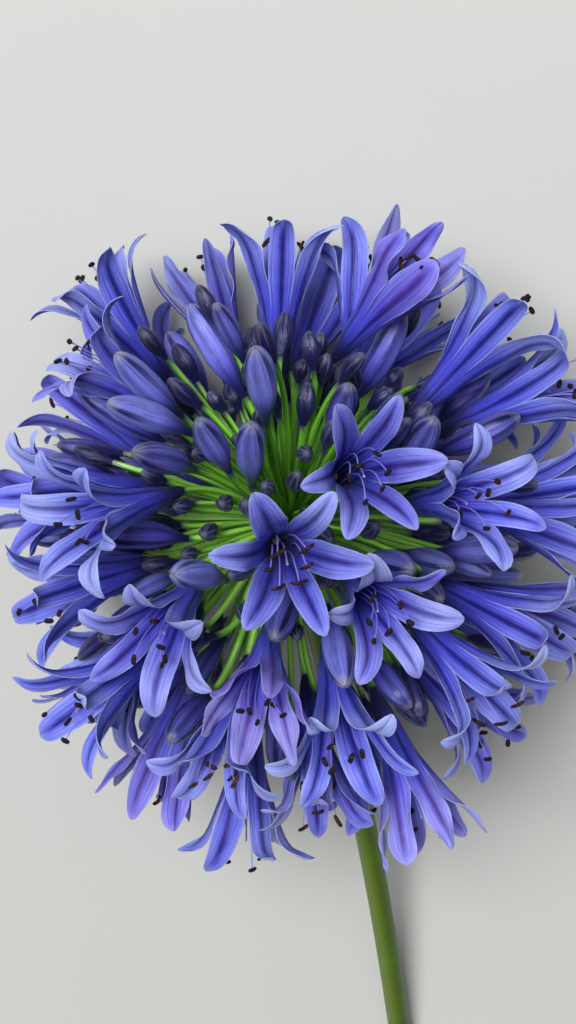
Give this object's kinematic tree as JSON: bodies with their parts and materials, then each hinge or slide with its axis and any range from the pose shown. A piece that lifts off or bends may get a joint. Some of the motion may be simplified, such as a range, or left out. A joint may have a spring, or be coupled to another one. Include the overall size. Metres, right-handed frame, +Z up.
{
  "type": "agapanthus flower head",
  "caption": "Cut agapanthus flower head lying on a surface: a round umbel of open violet-blue florets and closed buds on slender green stalks, with its fleshy green stem.",
  "frame": {"origin": "middle of the underside of the box round the head and its stem, on the surface that they lie on", "axes": "+Z up from the surface; +Y along the stem, from its cut end towards the top of the flower head; +X to the right, seen from above with the head at the far end"},
  "size_m": [0.2301, 0.4046, 0.2075],
  "materials": {
    "stem_green": "fresh fleshy green stem and stalks, waxy semi-gloss; the closed buds on them are violet to near black",
    "petal_violet": "soft satin petals, violet-blue with a dark middle line and paler edges"
  },
  "bodies": {
    "root": {"stem": "stem_green", "bloom_01": "petal_violet", "bloom_02": "petal_violet", "bloom_03": "petal_violet", "bloom_04": "petal_violet", "bloom_05": "petal_violet", "bloom_06": "petal_violet", "bloom_07": "petal_violet", "bloom_08": "petal_violet", "bloom_09": "petal_violet", "bloom_10": "petal_violet", "bloom_11": "petal_violet", "bloom_12": "petal_violet", "bloom_13": "petal_violet", "bloom_14": "petal_violet", "bloom_15": "petal_violet", "bloom_16": "petal_violet", "bloom_17": "petal_violet", "bloom_18": "petal_violet", "bloom_19": "petal_violet", "bloom_20": "petal_violet", "bloom_21": "petal_violet", "bloom_22": "petal_violet", "bloom_23": "petal_violet", "bloom_24": "petal_violet", "bloom_25": "petal_violet", "bloom_26": "petal_violet", "bloom_27": "petal_violet", "bloom_28": "petal_violet", "bloom_29": "petal_violet", "bloom_30": "petal_violet", "bloom_31": "petal_violet", "bloom_32": "petal_violet", "bloom_33": "petal_violet", "bloom_34": "petal_violet", "bloom_35": "petal_violet", "bloom_36": "petal_violet", "bloom_37": "petal_violet", "bloom_38": "petal_violet", "bloom_39": "petal_violet", "bloom_40": "petal_violet", "bloom_41": "petal_violet", "bloom_42": "petal_violet", "bloom_43": "petal_violet", "bloom_44": "petal_violet", "bloom_45": "petal_violet", "bloom_46": "petal_violet", "bloom_47": "petal_violet", "bloom_48": "petal_violet", "bloom_49": "petal_violet", "bloom_50": "petal_violet"}
  },
  "joints": []
}
